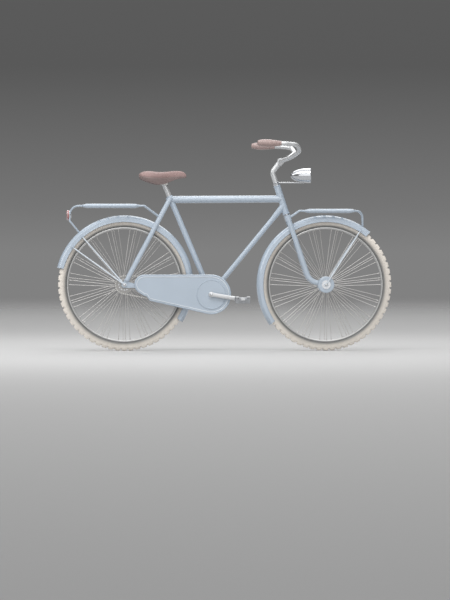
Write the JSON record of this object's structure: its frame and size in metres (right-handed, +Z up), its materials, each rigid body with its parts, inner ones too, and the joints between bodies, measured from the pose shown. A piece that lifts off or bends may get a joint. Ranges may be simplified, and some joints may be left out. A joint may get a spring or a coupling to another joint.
{
  "type": "roadster bicycle",
  "caption": "Upright town bicycle with front and rear racks, full mudguards, a chaincase, a headlamp and swept-back handlebar.",
  "frame": {"origin": "the rider's seat point, on top of the saddle in the middle plane", "axes": "+X forward, +Y to the rider's left, +Z up; the chain and its case are on the -Y side"},
  "size_m": [1.8298, 0.6384, 1.1478],
  "materials": {
    "frame_paint": "satin",
    "chrome": "polished",
    "steel": "satin",
    "saddle_leather": "satin",
    "grip_rubber": "matte",
    "pedal_rubber": "matte",
    "cream_tyre": "matte",
    "lens_glass": "clear",
    "red_reflector": "gloss"
  },
  "bodies": {
    "frame": {"bottom_bracket": "frame_paint", "chain": "steel", "chain_stays": "frame_paint", "chaincase": "frame_paint", "chaincase_brackets": "frame_paint", "chaincase_cover": "frame_paint", "coaster_brake_arm": "steel", "down_tube": "frame_paint", "head_tube": "frame_paint", "headset_cups": "chrome", "rear_axle": "chrome", "rear_dropouts": "frame_paint", "rear_mudguard": "frame_paint", "rear_mudguard_stays": "frame_paint", "rear_rack_deck": "frame_paint", "rear_rack_rods": "frame_paint", "rear_reflector": "red_reflector", "saddle": "saddle_leather", "saddle_clamp": "steel", "saddle_rails": "chrome", "seat_post": "chrome", "seat_stay_bridge": "frame_paint", "seat_stays": "frame_paint", "seat_tube": "frame_paint", "top_tube": "frame_paint"},
    "fork": {"fork_blades": "frame_paint", "fork_crown": "frame_paint", "front_axle": "chrome", "front_dropouts": "frame_paint", "front_hub_discs": "frame_paint", "front_mudguard": "frame_paint", "front_mudguard_stays": "frame_paint", "front_rack_deck": "frame_paint", "front_rack_rods": "frame_paint", "grip_left": "grip_rubber", "grip_right": "grip_rubber", "handlebar": "chrome", "headlamp_bracket": "chrome", "headlamp_lens": "lens_glass", "headlamp_shell": "chrome", "stem": "chrome"},
    "front_wheel": {"front_tyre": "cream_tyre", "front_rim": "chrome", "front_spokes": "steel", "front_hub": "chrome"},
    "rear_wheel": {"rear_tyre": "cream_tyre", "rear_rim": "chrome", "rear_spokes": "steel", "rear_hub": "chrome", "rear_sprocket": "steel"},
    "crank": {"chainring": "steel", "crank_axle": "chrome", "crank_left": "chrome", "crank_right": "chrome"},
    "pedal_left": {"pedal_cage_left": "chrome", "pedal_rubbers_left": "pedal_rubber"},
    "pedal_right": {"pedal_cage_right": "chrome", "pedal_rubbers_right": "pedal_rubber"}
  },
  "joints": [
    {"name": "steering", "type": "hinge", "parent": "frame", "child": "fork", "pos_m": [0.65404, 0, -0.06799], "axis": [-0.314, 0, 0.9494], "range_deg": [-75, 75]},
    {"name": "front_wheel_spin", "type": "hinge", "parent": "fork", "child": "front_wheel", "pos_m": [0.923, 0, -0.615], "axis": [0, 1, 0], "continuous": true},
    {"name": "rear_wheel_spin", "type": "hinge", "parent": "frame", "child": "rear_wheel", "pos_m": [-0.179, 0, -0.615], "axis": [0, 1, 0], "continuous": true},
    {"name": "crank_spin", "type": "hinge", "parent": "frame", "child": "crank", "pos_m": [0.294, 0, -0.668], "axis": [0, 1, 0], "continuous": true},
    {"name": "pedal_left_spin", "type": "hinge", "parent": "crank", "child": "pedal_left", "pos_m": [0.12638, 0.142, -0.63965], "axis": [0, 1, 0], "continuous": true},
    {"name": "pedal_right_spin", "type": "hinge", "parent": "crank", "child": "pedal_right", "pos_m": [0.46162, -0.142, -0.69635], "axis": [0, 1, 0], "continuous": true}
  ]
}
